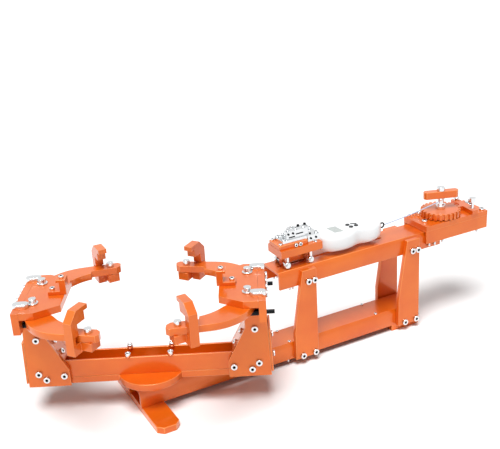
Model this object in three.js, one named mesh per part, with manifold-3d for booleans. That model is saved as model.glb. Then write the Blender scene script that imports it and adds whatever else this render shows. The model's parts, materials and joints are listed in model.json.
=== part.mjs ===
// Manual badminton racket stringing machine: a turntable with two clamping towers on a base beam,
// and a raised rail with a tension carriage that a ratchet winch pulls. Millimetres, +Z up.
// The origin is on the floor under the turntable's axis, and +X runs along the base to the winch.
import * as THREE from "three";
import { mergeVertices } from "three/addons/utils/BufferGeometryUtils.js";
import Module from "manifold-3d";

const wasm = await Module();
wasm.setup();

// Beam stock: one folded channel with sloped shoulders
const stockWidth = 50;
const stockHeight = 27;
const stockWall = 4;
const shoulderDrop = 6.5;
const shoulderInset = 3.5;

// Clearances and the overrun that lets a cut pass right through
const runGap = 0.3;
const seatGap = 0.2;
const overrun = 5;

// Feet and base beam
const footThickness = 10;
const footWidth = 34;
const footLength = 172;
const footSetback = 29;
const footCornerCut = 8;
const rearFootLength = 53;
const rearFootOverhang = 5;
const baseOverhang = 30;
const baseReach = 453;

// Turntable pivot
const thrustHeight = 7.7;
const thrustRadius = 30;
const pivotRadius = 5;
const pivotHeadRadius = 9;
const pivotHeadHeight = 6;
const pivotTail = 6;

// Turntable plate and trough
const restTurnDegrees = -27.65;
const discRadius = 47;
const discThickness = 10;
const troughWidth = 30;
const troughHeight = 26.5;
const troughWall = 3;
const troughHalfLength = 167;

// Towers
const sideThickness = 7;
const sideFootInner = 112;
const sideOuterLow = 172;
const sideOuterLean = 3.5;
const sideLift = 0.5;
const sideTopZ = 150;
const sideShoulderZ = 122;
const sideShoulderU = 138;
const sideKneeZ = 71;
const gussetThickness = 5;
const closingThickness = 3;
const closingLowZ = 52;
const closingHighZ = 118;
const topPlateZ = 182;
const topPlateThickness = 10;
const topHalfWidth = 60;
const topInnerHalfWidth = 40;
const topInnerU = 106;
const topKinkInset = 20;
const endPlateInnerU = 159;
const endPlateThickness = 10;

// Arms that carry the jaws
const armPivotU = 145;
const armPivotV = 31;
const armThickness = 10;
const armRootRadius = 13.7;
const armPinRadius = 4;
const armWasherRadius = 7.5;
const armWasherHeight = 1.5;
const screwHeadRadius = 5.2;
const screwHeadHeight = 6;
const jawBoltIn = 88;
const jawBoltOut = 67;
const armNeckHalf = 9;
const armNeckSlope = 0.18;
const armTipIn = 103;
const armTipCut = 5;
const armShoulderIn = 62;
const armShoulderOut = 45;
const armElbowOuterIn = 46;
const armElbowInnerIn = 32;
const armElbowInnerOut = 20;
const armHeelIn = 4;
const armHeelOut = 30;
const armElbowControlIn = 12;
const armElbowControlOut = 62;
const armInnerControlIn = 44;
const armInnerControlOut = 38;
const armRestDegrees = 2.3;
const armBossIn = 11;
const armBossOut = 12;
const armBossRadius = 6;
const armBossDrop = 11;

// Jaws that hold the racket frame
const jawThickness = 12.5;
const jawStandoff = 6.5;
const jawBack = 24;
const jawInwardDegrees = 63.2;
const jawLowZ = 146.5;
const jawHighZ = 206;
const jawLipReach = 13;
const jawLipDepth = 6.5;
const jawRecessReach = 5;
const jawHookZ = 187.5;
const jawBackCut = 13;
const jawWebInner = 11;
const jawNotchBack = 18.2;
const jawNotchGap = 0.5;
const jawFootInner = 4;
const jawFlangeDepth = 12;
const jawFlangeHalf = 9.5;

// Screws that set the arms
const setScrewV = 43;
const setScrewZ = 157;
const setScrewRadius = 4.5;
const setScrewTailRadius = 3;
const setScrewTailLeft = 0.8;
const setScrewTailRight = 11;

// Centre posts inside the racket frame
const postBaseLength = 26;
const postBaseHalf = 9;
const postBaseHeight = 5;
const postOverhang = 3;
const postThickness = 9;
const postHeight = 17;
const postLip = 4;
const postLipHeight = 4;
const postPinRadius = 2.7;
const postPinFromInner = 17;
const postTravel = 7;
const postSlotHalf = 3;

// Uprights between base and rail
const uprightThickness = 7.5;
const uprightWidth = 40;
const uprightTopWidth = 24;
const uprightKneeZ = 56;
const uprightTopZ = 155;
const uprightFrontRight = 261;

// Tension rail
const railBottomZ = 130;
const railLeft = 202;
const railInHead = 31;
const railSlotHalf = 2.5;
const railSlotLeft = 213;
const railSlotRight = 402;

// Winch head
const headLeft = 469;
const headRight = 594;
const headWall = 4;
const headWeb = 3;
const headBottomZ = 138.5;
const headPlateThickness = 8;
const winchFromHeadEnd = 74;
const gearTeeth = 24;
const gearRadius = 32;
const gearToothDepth = 4;
const gearThickness = 10;
const gearLift = 1.5;
const gearToothShare = 0.52;
const spindleRadius = 5;
const spindleTail = 12;
const spindleTailCollar = 8;
const spindleCollarRadius = 8;
const spindleCollarHeight = 8;
const drumHeight = 10;
const drumFlangeRadius = 6.5;
const drumFlangeHeight = 1.2;
const crankLength = 57;
const crankWidth = 12;
const crankHeight = 12;
const crankCorner = 3.5;
const crankRestDegrees = -21;
const crankBore = 4;
const crankNutRadius = 6.5;
const crankNutHeight = 6;

// Pawl and its spring
const pawlFromGear = 20;
const pawlPivotY = 22;
const pawlLift = 0.5;
const pawlThickness = 6.5;
const pawlHalfWidth = 6.5;
const pawlTail = 8;
const pawlReach = 53;
const pawlToothHalf = 0.8;
const pawlToothRoot = 5;
const pawlToothBite = 1.5;
const pawlRestDegrees = 5;
const pawlLeanDegrees = 11.5;
const pawlPinRadius = 3;
const pawlBoltHeadRadius = 5;
const pawlBoltHeadHeight = 5;
const pawlKnobFromEnd = 9;
const pawlKnobStem = 2.5;
const pawlKnobStemHeight = 12;
const pawlKnobRadius = 5.5;
const pawlKnobHeight = 7;
const springRadius = 2.9;
const springWire = 0.9;
const springLength = 7.5;
const springCurls = 6;
const springFromPivot = 13;
const springPostRadius = 2.6;
const springPostHeight = 9;

// Tension carriage
const wheelRadius = 5;
const wheelWidth = 6;
const wheelInnerY = 12;
const wheelBoreRadius = 2;
const wheelRimShare = 0.12;
const wheelRimDrop = 0.6;
const wheelX = [222, 262];
const axleHeadRadius = 3;
const axleHeadHeight = 1.2;
const pillarRadius = 3.7;
const pillarRise = 1.2;
const blockLeft = 210;
const blockRight = 281;
const slabHalf = 20;
const slabBottomZ = 176.5;
const webHalf = 4;
const webLeft = 219;
const webRight = 265;
const blockBottomZ = 161;
const blockTopZ = 188.5;
const drawLug = 3.5;
const drawLugHalf = 7;
const drawLugHeight = 8;
const keeperRadius = 2.2;
const keeperHalf = 9;
const keeperThickness = 5;
const carriagePlateLeft = 210;
const carriagePlateRight = 258;
const carriagePlateHalf = 16;
const carriagePlateThickness = 7;

// String gripper on the carriage
const gripBaseLeft = 217;
const gripBaseRight = 276;
const gripBaseHalf = 13;
const gripBaseHeight = 5;
const gripFootGap = 1;
const gripFootInset = 1;
const gripFootHalf = 15;
const gripJawLeft = 225;
const gripJawRight = 262;
const gripJawFace = -1.5;
const gripJawThickness = 9;
const gripJawHeight = 12;
const gripPivotX = 245;
const gripPivotY = 9;
const gripCamRadius = 8.5;
const gripCamOffset = 1.2;
const gripCamHeight = 8;
const gripLeverReach = 27;
const gripLeverHalf = 3.2;
const gripPinRadius = 3;
const gripPinHeight = 11;

// Hanging scale that shows the tension
const scaleLeft = 285;
const scaleBottomZ = 161.5;
const scaleHeight = 28;
const scaleRight = 398;
const scaleHalf = 23;
const scaleOutlineShares = [
  [0, 0], [0.02, 0.42], [0.1, 0.8], [0.22, 0.98], [0.36, 1], [0.48, 0.86], [0.58, 0.66],
  [0.66, 0.69], [0.76, 0.86], [0.86, 0.82], [0.94, 0.6], [0.99, 0.27], [1, 0],
];
const scaleProfileShares = [
  [0, 0.55], [0.06, 0.71], [0.14, 0.83], [0.27, 0.94], [0.44, 1], [0.8, 1], [0.93, 0.96], [1, 0.89],
];
const scaleOutlineSteps = 60;
const buttonRadius = 3.2;
const buttonHeight = 3.2;
const buttonProud = 1.2;
const buttonPocket = 3.2;
const buttonX = [344.5, 345, 354.5];
const buttonY = [8.5, -1, -0.5];
const hookRingRadius = 3.8;
const hookWireRadius = 1.2;
const hookZ = 178;

// Draw cord
const cordRadius = 0.8;
const cordDrop = 1.6;
const cordSteps = 40;

// Places and heights worked out from the sizes above
const baseTopZ = footThickness + stockHeight;
const plateBottomZ = baseTopZ + thrustHeight + runGap;
const discTopZ = plateBottomZ + discThickness;
const troughTopZ = discTopZ + seatGap + troughHeight;
const topPlateBottomZ = topPlateZ - topPlateThickness;
const armTopZ = topPlateBottomZ - runGap;
const armBottomZ = armTopZ - armThickness;
const railTopZ = railBottomZ + stockHeight;
const headBoxTopZ = railTopZ + runGap + headWeb;
const headTopZ = headBoxTopZ + headPlateThickness;
const headHalf = stockWidth / 2 + seatGap + headWall;
const gearBottomZ = headTopZ + gearLift;
const gearTopZ = gearBottomZ + gearThickness;
const drumBottomZ = gearTopZ + seatGap + spindleCollarHeight;
const crankBottomZ = drumBottomZ + drumHeight + seatGap;
const wheelZ = railTopZ + runGap + wheelRadius;
const plateTopZ = blockTopZ + carriagePlateThickness;
const gripTopZ = plateTopZ + gripBaseHeight;
const endPlateOuterU = endPlateInnerU + seatGap + endPlateThickness;
const postInnerU = topInnerU - postOverhang;
const uprightRight = [uprightFrontRight, baseReach];
const railRight = headLeft + railInHead;
const winchX = headRight - winchFromHeadEnd;
const pawlPivotX = winchX + gearRadius + pawlFromGear;

// Finishes
const finishes = {
  orange: new THREE.MeshStandardMaterial({ color: "#e8581c", metalness: 0.55, roughness: 0.32 }),
  steel: new THREE.MeshStandardMaterial({ color: "#c9cbce", metalness: 1, roughness: 0.2 }),
  black: new THREE.MeshStandardMaterial({ color: "#17171a", metalness: 0.6, roughness: 0.35 }),
  white: new THREE.MeshStandardMaterial({ color: "#eceef0", metalness: 0, roughness: 0.3 }),
  rubber: new THREE.MeshStandardMaterial({ color: "#1d1d1f", metalness: 0, roughness: 0.7 }),
  cord: new THREE.MeshStandardMaterial({ color: "#b9c6da", metalness: 0, roughness: 0.6 }),
};

const half = 1 / 2;
const ringSides = 28;
const outlineSteps = 10;
const radians = THREE.MathUtils.degToRad;

// Solids and meshes
function shapeOf(points) {
  return new THREE.Shape(points.map(([x, y]) => new THREE.Vector2(x, y)));
}

function roundHole(shape, x, y, radius) {
  const hole = new THREE.Path();
  hole.absarc(x, y, radius, 0, Math.PI * 2, !THREE.ShapeUtils.isClockWise(shape.getPoints()));
  shape.holes.push(hole);
  return shape;
}

function prism(shape, depth) {
  return new THREE.ExtrudeGeometry(shape, { depth, bevelEnabled: false, curveSegments: outlineSteps });
}

// A section drawn in Y and Z, run along X
function alongX(shape, from, to) {
  const turn = new THREE.Matrix4().makeBasis(
    new THREE.Vector3(0, 1, 0), new THREE.Vector3(0, 0, 1), new THREE.Vector3(1, 0, 0));
  return prism(shape, to - from).applyMatrix4(turn).translate(from, 0, 0);
}

// An outline drawn in X and Z, run along Y
function alongY(shape, from, to) {
  const turn = new THREE.Matrix4().makeBasis(
    new THREE.Vector3(1, 0, 0), new THREE.Vector3(0, 0, 1), new THREE.Vector3(0, -1, 0));
  return prism(shape, to - from).applyMatrix4(turn).translate(0, to, 0);
}

// An outline drawn in X and Y, run up Z
function alongZ(shape, from, to) {
  return prism(shape, to - from).translate(0, 0, from);
}

function box(x0, x1, y0, y1, z0, z1) {
  return new THREE.BoxGeometry(x1 - x0, y1 - y0, z1 - z0)
    .translate((x0 + x1) * half, (y0 + y1) * half, (z0 + z1) * half);
}

function post(x, y, radius, z0, z1) {
  return new THREE.CylinderGeometry(radius, radius, z1 - z0, ringSides)
    .rotateX(Math.PI * half).translate(x, y, (z0 + z1) * half);
}

function rodAlongX(x0, x1, y, z, radius) {
  return new THREE.CylinderGeometry(radius, radius, x1 - x0, ringSides)
    .rotateZ(Math.PI * half).translate((x0 + x1) * half, y, z);
}

function rodAlongY(x, y0, y1, z, radius) {
  return new THREE.CylinderGeometry(radius, radius, y1 - y0, ringSides).translate(x, (y0 + y1) * half, z);
}

function turned(profile) {
  const points = profile.map(([r, z]) => new THREE.Vector2(r, z));
  return new THREE.LatheGeometry(points, ringSides).rotateX(Math.PI * half);
}

function solid(geometry) {
  const bare = geometry.clone();
  bare.deleteAttribute("normal");
  bare.deleteAttribute("uv");
  const merged = mergeVertices(bare);
  return new wasm.Manifold(new wasm.Mesh({
    numProp: 3,
    vertProperties: new Float32Array(merged.attributes.position.array),
    triVerts: new Uint32Array(merged.index.array),
  }));
}

function geometryOf(body) {
  const data = body.getMesh();
  const geometry = new THREE.BufferGeometry();
  geometry.setAttribute("position", new THREE.BufferAttribute(new Float32Array(data.vertProperties), 3));
  geometry.setIndex(new THREE.BufferAttribute(new Uint32Array(data.triVerts), 1));
  geometry.computeVertexNormals();
  return geometry;
}

function joined(first, ...others) {
  return geometryOf(others.reduce((body, next) => body.add(solid(next)), solid(first)));
}

function cutFrom(first, ...tools) {
  return geometryOf(tools.reduce((body, next) => body.subtract(solid(next)), solid(first)));
}

function piece(name, geometry, finish) {
  const mesh = new THREE.Mesh(geometry, finish);
  mesh.name = name;
  return mesh;
}

// Channel section, closed side up or down, with its shoulders sloped on the closed side
function channel(width, height, wall, bottomZ, closedUp) {
  const outer = width * half;
  const inner = outer - wall;
  const flip = (z) => (closedUp ? bottomZ + z : bottomZ + height - z);
  return shapeOf([
    [-outer, flip(0)],
    [-inner, flip(0)],
    [-inner, flip(height - shoulderDrop)],
    [-inner + shoulderInset, flip(height - wall)],
    [inner - shoulderInset, flip(height - wall)],
    [inner, flip(height - shoulderDrop)],
    [inner, flip(0)],
    [outer, flip(0)],
    [outer, flip(height - shoulderDrop)],
    [outer - shoulderInset, flip(height)],
    [-outer + shoulderInset, flip(height)],
    [-outer, flip(height - shoulderDrop)],
  ]);
}

// Front foot: a flat bar across the base with its corners cut
function frontFoot() {
  const left = -footSetback;
  const right = left + footWidth;
  const end = footLength * half;
  const cut = footCornerCut;
  const outline = shapeOf([
    [left + cut, -end], [right - cut, -end], [right, -end + cut], [right, end - cut],
    [right - cut, end], [left + cut, end], [left, end - cut], [left, -end + cut],
  ]);
  return alongZ(outline, 0, footThickness);
}

// Base beam, open side down, drilled for the turntable's pivot
function baseBeam() {
  const section = channel(stockWidth, stockHeight, stockWall, footThickness, true);
  const beam = alongX(section, -baseOverhang, baseReach);
  return cutFrom(beam, post(0, 0, pivotRadius + seatGap, footThickness, baseTopZ + overrun));
}

// Rear foot pad under the far end of the base
function rearFoot() {
  const right = baseReach + rearFootOverhang;
  return box(right - rearFootLength, right, -stockWidth * half, stockWidth * half, 0, footThickness);
}

// Pivot post: shaft, thrust flange on the beam, and a head above the trough's floor
function pivotPost() {
  const headFrom = discTopZ + seatGap + troughWall + runGap;
  return turned([
    [0, baseTopZ - stockWall - pivotTail],
    [pivotHeadRadius, baseTopZ - stockWall - pivotTail],
    [pivotHeadRadius, baseTopZ - stockWall - seatGap],
    [pivotRadius, baseTopZ - stockWall - seatGap],
    [pivotRadius, baseTopZ + seatGap],
    [thrustRadius, baseTopZ + seatGap],
    [thrustRadius, baseTopZ + thrustHeight],
    [pivotRadius, baseTopZ + thrustHeight],
    [pivotRadius, headFrom],
    [pivotHeadRadius, headFrom],
    [pivotHeadRadius, headFrom + pivotHeadHeight],
    [0, headFrom + pivotHeadHeight],
  ]);
}

// Uprights: plates whose edge towards the turntable slopes in above a knee
function uprightOutline(right) {
  const left = right - uprightWidth;
  return shapeOf([
    [left, footThickness], [right, footThickness], [right, uprightTopZ],
    [right - uprightTopWidth, uprightTopZ], [left, uprightKneeZ],
  ]);
}

function uprights() {
  const meshes = [];
  const ends = ["front", "rear"];
  uprightRight.forEach((right, index) => {
    const inner = stockWidth * half;
    const outer = inner + uprightThickness;
    const outline = uprightOutline(right);
    meshes.push(piece(`upright_${ends[index]}_near`, alongY(outline, -outer, -inner), finishes.orange));
    if (right === baseReach) {
      meshes.push(piece(`upright_${ends[index]}_far`, alongY(outline, inner, outer), finishes.orange));
    }
  });
  return meshes;
}

// Tension rail, open side down, with a keeper slot along its middle
function tensionRail() {
  const section = channel(stockWidth, stockHeight, stockWall, railBottomZ, true);
  const rail = alongX(section, railLeft, railRight);
  const slot = box(railSlotLeft, railSlotRight, -railSlotHalf, railSlotHalf, railBottomZ, railTopZ + overrun);
  return cutFrom(rail, slot);
}

// Winch head: a channel that wraps the rail's end, and the plate that lies on it
function headBox() {
  const inner = headHalf - headWall;
  const section = shapeOf([
    [-headHalf, headBottomZ], [-inner, headBottomZ], [-inner, headBoxTopZ - headWeb],
    [inner, headBoxTopZ - headWeb], [inner, headBottomZ], [headHalf, headBottomZ],
    [headHalf, headBoxTopZ], [-headHalf, headBoxTopZ],
  ]);
  const shell = alongX(section, headLeft, headRight);
  return cutFrom(shell, post(winchX, 0, spindleRadius + runGap, headBottomZ, headBoxTopZ + overrun));
}

// Where the spring begins, clear of the pawl's edge at rest
function springStartX() {
  const lean = radians(pawlLeanDegrees - pawlRestDegrees);
  return pawlPivotX + pawlHalfWidth / Math.cos(lean) - (springFromPivot - springRadius) * Math.tan(lean)
    + springWire;
}

function springPostX() {
  return springStartX() + springLength + runGap + springPostRadius;
}

function headPlate() {
  const slab = box(headLeft, headRight, -headHalf, headHalf, headBoxTopZ, headTopZ);
  const springY = pawlPivotY - springFromPivot;
  const stud = post(springPostX(), springY, springPostRadius, headTopZ - half, headTopZ + springPostHeight);
  return cutFrom(
    joined(slab, stud),
    post(winchX, 0, spindleRadius + runGap, headBoxTopZ - overrun, headTopZ + overrun),
    post(pawlPivotX, pawlPivotY, pawlPinRadius + seatGap, headBoxTopZ - half, headTopZ + overrun),
  );
}

// Turntable plate: a bar with a disc at its middle, turning on the thrust flange
function turntablePlate() {
  const bar = box(-troughHalfLength, troughHalfLength,
    -troughWidth * half, troughWidth * half, plateBottomZ, discTopZ);
  const disc = new THREE.CylinderGeometry(discRadius, discRadius, discThickness, ringSides * 2)
    .rotateX(Math.PI * half).translate(0, 0, (plateBottomZ + discTopZ) * half);
  const whole = joined(bar, disc);
  return cutFrom(whole, post(0, 0, pivotRadius + runGap, plateBottomZ - overrun, discTopZ + overrun));
}

// Trough between the towers, open side up
function turntableBeam() {
  const outer = troughWidth * half;
  const inner = outer - troughWall;
  const floor = discTopZ + seatGap;
  const section = shapeOf([
    [-outer, floor], [outer, floor], [outer, troughTopZ], [inner, troughTopZ],
    [inner, floor + troughWall], [-inner, floor + troughWall], [-inner, troughTopZ], [-outer, troughTopZ],
  ]);
  const trough = alongX(section, -troughHalfLength, troughHalfLength);
  return cutFrom(trough, post(0, 0, pivotRadius + runGap, floor - overrun, floor + troughWall + overrun));
}

function sideOuterAt(z) {
  const lowZ = plateBottomZ + sideLift;
  return sideOuterLow - sideOuterLean * (z - lowZ) / (sideTopZ - lowZ);
}

// Side plates of a tower, on either side of the trough
function sidePlate(end, from, to) {
  const lowZ = plateBottomZ + sideLift;
  const outline = [
    [sideFootInner, lowZ], [sideOuterLow, lowZ], [sideOuterAt(sideTopZ), sideTopZ],
    [sideShoulderU, sideTopZ], [sideShoulderU, sideShoulderZ], [sideFootInner, sideKneeZ],
  ];
  return alongY(shapeOf(outline.map(([u, z]) => [end * u, z])), from, to);
}

// Gusset that closes a tower's sloping inner edge between its side plates
function gusset(end) {
  const rise = sideShoulderZ - sideKneeZ;
  const run = sideShoulderU - sideFootInner;
  const length = Math.hypot(rise, run);
  const insetU = gussetThickness * rise / length;
  const insetZ = gussetThickness * run / length;
  const lowZ = Math.max(sideKneeZ, troughTopZ + seatGap);
  const lowU = sideFootInner + run * (lowZ - sideKneeZ) / rise;
  const outline = [
    [lowU, lowZ], [sideShoulderU, sideShoulderZ], [sideShoulderU + insetU, sideShoulderZ - insetZ],
    [lowU + insetU * length / rise, lowZ],
  ];
  const edge = troughWidth * half;
  return alongY(shapeOf(outline.map(([u, z]) => [end * u, z])), -edge, edge);
}

// Closing plate over a tower's outer edge
function closingPlate(end) {
  const lowU = sideOuterAt(closingLowZ) + seatGap;
  const highU = sideOuterAt(closingHighZ) + seatGap;
  const outline = [
    [lowU, closingLowZ], [lowU + closingThickness, closingLowZ],
    [highU + closingThickness, closingHighZ], [highU, closingHighZ],
  ];
  const edge = troughWidth * half + seatGap + sideThickness;
  return alongY(shapeOf(outline.map(([u, z]) => [end * u, z])), -edge, edge);
}

// Top plate of a tower, with holes for the arm pins and a slot for the centre post
function topPlate(end) {
  const outline = shapeOf([
    [end * endPlateInnerU, -topHalfWidth], [end * (endPlateInnerU - topKinkInset), -topHalfWidth],
    [end * topInnerU, -topInnerHalfWidth], [end * topInnerU, topInnerHalfWidth],
    [end * (endPlateInnerU - topKinkInset), topHalfWidth], [end * endPlateInnerU, topHalfWidth],
  ]);
  roundHole(outline, end * armPivotU, -armPivotV, armPinRadius + runGap);
  roundHole(outline, end * armPivotU, armPivotV, armPinRadius + runGap);
  const plate = alongZ(outline, topPlateBottomZ, topPlateZ);
  const pinU = postInnerU + postPinFromInner;
  const reach = postTravel + postPinRadius + runGap;
  const ends = [end * (pinU - reach), end * (pinU + reach)];
  return cutFrom(plate, box(Math.min(...ends), Math.max(...ends), -postSlotHalf, postSlotHalf,
    topPlateBottomZ - overrun, topPlateZ + overrun));
}

// End plate that stands on the side plates and carries the top plate and the set screws
function endPlate(end) {
  const near = end * (endPlateInnerU + seatGap);
  const far = end * endPlateOuterU;
  const slab = box(Math.min(near, far), Math.max(near, far),
    -topHalfWidth, topHalfWidth, sideTopZ + seatGap, topPlateZ);
  const holeFrom = Math.min(near, far) - overrun;
  const holeTo = Math.max(near, far) + overrun;
  return cutFrom(slab,
    rodAlongX(holeFrom, holeTo, -setScrewV, setScrewZ, setScrewRadius + runGap),
    rodAlongX(holeFrom, holeTo, setScrewV, setScrewZ, setScrewRadius + runGap));
}

// Centre post: a block that slides on a top plate and holds the frame from inside
function centrePost(end) {
  const baseZ = topPlateZ + seatGap;
  const inner = postInnerU;
  const topZ = baseZ + postBaseHeight + postHeight;
  const outline = [
    [inner, baseZ], [inner + postBaseLength, baseZ], [inner + postBaseLength, baseZ + postBaseHeight],
    [inner + postThickness, baseZ + postBaseHeight], [inner + postThickness, topZ - postLipHeight],
    [inner + postThickness + postLip, topZ - postLipHeight], [inner + postThickness + postLip, topZ],
    [inner, topZ],
  ];
  const body = alongY(shapeOf(outline.map(([u, z]) => [end * u, z])), -postBaseHalf, postBaseHalf);
  const pinU = end * (inner + postPinFromInner);
  return joined(body, post(pinU, 0, postPinRadius, topPlateBottomZ - half, baseZ + half));
}

// The places of an arm's features, measured inwards and outwards from its pin, then turned about it
function armPlace(end, side, inwards, outwards) {
  const turn = radians(end > 0 ? armRestDegrees : -armRestDegrees);
  const u = inwards * Math.cos(turn) + outwards * Math.sin(turn);
  const v = -inwards * Math.sin(turn) + outwards * Math.cos(turn);
  return [end * (armPivotU - u), side * (armPivotV + v)];
}

function neckEdge(inwards, offset) {
  return jawBoltOut + offset * Math.hypot(1, armNeckSlope) + armNeckSlope * (inwards - jawBoltIn);
}

// Arm: a bent flat bar that swings on its pin and ends in a neck for the jaw
function arm(end, side) {
  const at = (inwards, outwards) => armPlace(end, side, inwards, outwards);
  const outline = new THREE.Shape();
  outline.moveTo(...at(-armRootRadius, 0));
  outline.lineTo(...at(-armHeelIn, armHeelOut));
  outline.quadraticCurveTo(...at(armElbowControlIn, armElbowControlOut),
    ...at(armElbowOuterIn, neckEdge(armElbowOuterIn, armNeckHalf)));
  outline.lineTo(...at(armTipIn - armTipCut, neckEdge(armTipIn - armTipCut, armNeckHalf)));
  outline.lineTo(...at(armTipIn, neckEdge(armTipIn, armNeckHalf) - armTipCut));
  outline.lineTo(...at(armTipIn, neckEdge(armTipIn, -armNeckHalf) + armTipCut));
  outline.lineTo(...at(armTipIn - armTipCut, neckEdge(armTipIn - armTipCut, -armNeckHalf)));
  outline.lineTo(...at(armShoulderIn, neckEdge(armShoulderIn, -armNeckHalf)));
  outline.lineTo(...at(armShoulderIn, armShoulderOut));
  outline.quadraticCurveTo(...at(armInnerControlIn, armInnerControlOut),
    ...at(armElbowInnerIn, armElbowInnerOut));
  outline.lineTo(...at(armRootRadius, 0));
  outline.lineTo(...at(armRootRadius * half, -armRootRadius));
  outline.lineTo(...at(-armRootRadius * half, -armRootRadius));
  const [boltU, boltV] = at(jawBoltIn, jawBoltOut);
  roundHole(outline, boltU, boltV, armPinRadius + runGap);
  const [bossU, bossV] = at(armBossIn, armBossOut);
  const pinU = end * armPivotU;
  const pinV = side * armPivotV;
  const washerZ = topPlateZ + runGap;
  const headZ = washerZ + armWasherHeight;
  return joined(
    alongZ(outline, armBottomZ, armTopZ),
    post(bossU, bossV, armBossRadius, armBottomZ - armBossDrop, armBottomZ + half),
    post(pinU, pinV, armPinRadius, armTopZ - half, washerZ + half),
    post(pinU, pinV, armWasherRadius, washerZ, headZ),
    post(pinU, pinV, screwHeadRadius, headZ - half, headZ + screwHeadHeight),
  );
}

// Jaw: an upright hook that takes the racket frame under its lip, swivelling on the arm's end
function jaw(end, side) {
  const notchTop = armTopZ + jawNotchGap;
  const notchLow = armBottomZ - jawNotchGap;
  const plate = shapeOf([
    [-jawBack, jawLowZ], [-jawFootInner, jawLowZ], [-jawFootInner, notchLow], [-jawNotchBack, notchLow],
    [-jawNotchBack, notchTop], [-jawWebInner, notchTop], [-jawWebInner, jawHookZ],
    [jawRecessReach, jawHookZ], [jawRecessReach, jawHighZ - jawLipDepth],
    [jawLipReach, jawHighZ - jawLipDepth], [jawLipReach, jawHighZ], [-jawBack + jawBackCut, jawHighZ],
    [-jawBack, jawHighZ - jawBackCut],
  ]);
  const body = joined(
    alongY(plate, -jawStandoff - jawThickness, -jawStandoff),
    box(-jawFlangeHalf, jawFlangeHalf, -jawStandoff - half, jawFlangeHalf, notchLow - jawFlangeDepth, notchLow),
    post(0, 0, armPinRadius, notchLow - half, armTopZ + runGap + half),
    post(0, 0, screwHeadRadius, armTopZ + runGap, armTopZ + runGap + screwHeadHeight),
  );
  const inward = radians(jawInwardDegrees);
  const axisIn = new THREE.Vector3(-end * Math.cos(inward), -side * Math.sin(inward), 0);
  const axisAlong = new THREE.Vector3(-end * Math.sin(inward), side * Math.cos(inward), 0);
  const [boltU, boltV] = armPlace(end, side, jawBoltIn, jawBoltOut);
  const turn = new THREE.Matrix4().makeBasis(axisIn, axisAlong, new THREE.Vector3(0, 0, 1));
  return mirrorSafe(body, turn).translate(boltU, boltV, 0);
}

// A mirrored copy has its faces turned the right way round again
function mirrorSafe(geometry, matrix) {
  const copy = geometry.applyMatrix4(matrix);
  if (matrix.determinant() < 0) {
    const order = copy.index.array;
    for (let i = 0; i < order.length; i += 3) {
      [order[i], order[i + 1]] = [order[i + 1], order[i]];
    }
  }
  return copy;
}

// Set screw: bears on the arm's boss and passes out through the end plate
function setScrew(end, side) {
  const [bossU] = armPlace(end, side, armBossIn, armBossOut);
  const tip = Math.abs(bossU) + armBossRadius + runGap;
  const shoulder = endPlateOuterU;
  const tail = shoulder + (end > 0 ? setScrewTailRight : setScrewTailLeft);
  const rod = rodAlongX(tip, shoulder, side * setScrewV, setScrewZ, setScrewRadius);
  const end3 = rodAlongX(shoulder - half, tail, side * setScrewV, setScrewZ, setScrewTailRadius);
  const whole = joined(rod, end3);
  return end > 0 ? whole : mirrorSafe(whole, new THREE.Matrix4().makeScale(-1, 1, 1));
}

// Tower pieces, for the left end and the right end
function towerMeshes() {
  const meshes = [];
  const sideFrom = troughWidth * half + seatGap;
  const sideTo = sideFrom + sideThickness;
  for (const [endName, end] of [["left", -1], ["right", 1]]) {
    meshes.push(piece(`side_plate_${endName}_near`, sidePlate(end, -sideTo, -sideFrom), finishes.orange));
    meshes.push(piece(`side_plate_${endName}_far`, sidePlate(end, sideFrom, sideTo), finishes.orange));
    meshes.push(piece(`gusset_${endName}`, gusset(end), finishes.orange));
    meshes.push(piece(`closing_plate_${endName}`, closingPlate(end), finishes.orange));
    meshes.push(piece(`top_plate_${endName}`, topPlate(end), finishes.orange));
    meshes.push(piece(`end_plate_${endName}`, endPlate(end), finishes.orange));
    meshes.push(piece(`centre_post_${endName}`, centrePost(end), finishes.orange));
    for (const [sideName, side] of [["near", -1], ["far", 1]]) {
      meshes.push(piece(`arm_${endName}_${sideName}`, arm(end, side), finishes.orange));
      meshes.push(piece(`jaw_${endName}_${sideName}`, jaw(end, side), finishes.orange));
      meshes.push(piece(`set_screw_${endName}_${sideName}`, setScrew(end, side), finishes.black));
    }
  }
  return meshes;
}

// Ratchet gear with square teeth, a gap facing the pawl
function ratchetGear() {
  const outline = new THREE.Shape();
  const pitch = Math.PI * 2 / gearTeeth;
  const rootRadius = gearRadius - gearToothDepth;
  const toothHalf = pitch * gearToothShare * half;
  for (let tooth = 0; tooth < gearTeeth; tooth += 1) {
    const middle = (tooth + half) * pitch;
    const corners = [
      [rootRadius, middle - toothHalf], [gearRadius, middle - toothHalf],
      [gearRadius, middle + toothHalf], [rootRadius, middle + toothHalf],
    ];
    corners.forEach(([radius, angle], index) => {
      const point = [winchX + radius * Math.cos(angle), radius * Math.sin(angle)];
      if (tooth === 0 && index === 0) outline.moveTo(...point);
      else outline.lineTo(...point);
    });
  }
  roundHole(outline, winchX, 0, spindleRadius + seatGap);
  return alongZ(outline, gearBottomZ, gearTopZ);
}

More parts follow.
